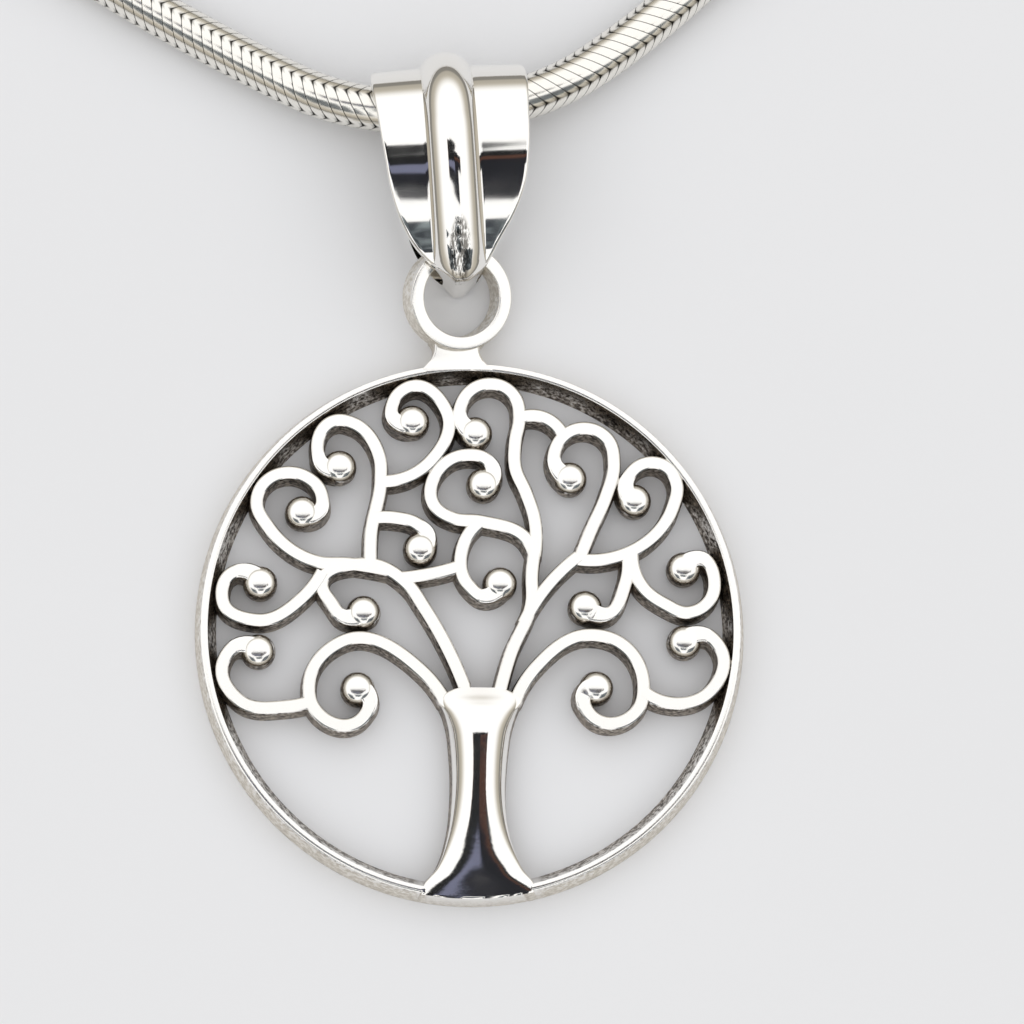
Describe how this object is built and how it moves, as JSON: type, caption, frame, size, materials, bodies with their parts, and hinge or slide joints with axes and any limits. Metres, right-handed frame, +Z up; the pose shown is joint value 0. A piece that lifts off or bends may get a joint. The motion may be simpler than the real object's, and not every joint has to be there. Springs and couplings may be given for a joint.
{
  "type": "tree of life pendant on snake chain",
  "caption": "Round openwork pendant of a scrolled tree inside a ring, hung by a folded bail on a snake chain necklace that lies flat.",
  "frame": {"origin": "on the floor, under the middle of the whole necklace's bounding box", "axes": "+Z up, out of the pendant's front; +Y from the pendant along the necklace to its clasp; +X to the right of the tree"},
  "size_m": [0.1104, 0.1968, 0.0063],
  "materials": {
    "medallion_silver": "cast sterling silver, polished on the front and darkened in the recesses",
    "bail_silver": "mirror polished sterling silver sheet",
    "chain_silver": "polished sterling silver snake chain",
    "clasp_silver": "polished sterling silver"
  },
  "bodies": {
    "root": {"medallion": "medallion_silver", "bail": "bail_silver", "snake_chain": "chain_silver", "barrel_clasp": "clasp_silver"}
  },
  "joints": []
}
